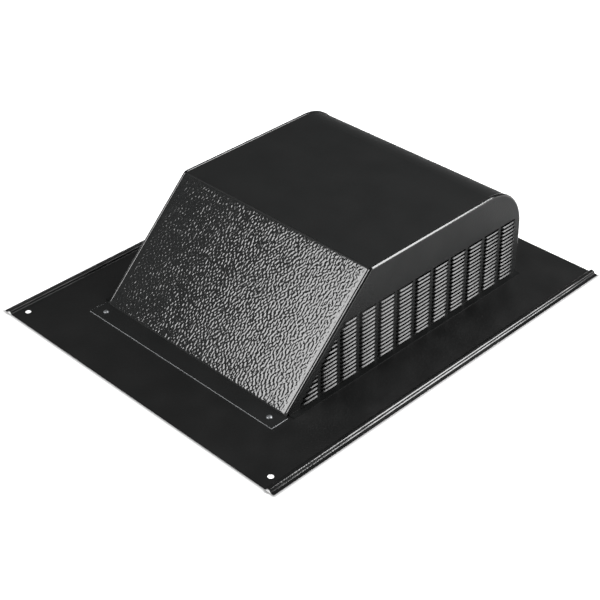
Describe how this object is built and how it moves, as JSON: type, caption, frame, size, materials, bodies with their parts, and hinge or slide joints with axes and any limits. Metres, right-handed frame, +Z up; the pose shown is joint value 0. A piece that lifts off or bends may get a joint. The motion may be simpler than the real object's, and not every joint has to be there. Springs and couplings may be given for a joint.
{
  "type": "static roof vent",
  "caption": "Slant-back static roof vent: flat flashing with side ribs, sheet hood with a rounded nose, and louvred end panels seamed to it.",
  "frame": {"origin": "centre of the flashing's underside, on the roof deck", "axes": "+X across the vent towards the right end panel, +Y from the slant towards the rounded nose (down the roof), +Z up, away from the deck"},
  "size_m": [0.406, 0.482, 0.1138],
  "materials": {
    "flashing_sheet": "satin black paint on galvanised steel sheet",
    "hood_sheet": "glossy black paint on embossed galvanised steel sheet",
    "panel_sheet": "semi-gloss black paint on galvanised steel sheet",
    "rivet_metal": "bright"
  },
  "bodies": {
    "root": {"flashing": "flashing_sheet", "hood": "hood_sheet", "end_panel_right": "panel_sheet", "end_panel_left": "panel_sheet", "rivets": "rivet_metal"}
  },
  "joints": []
}
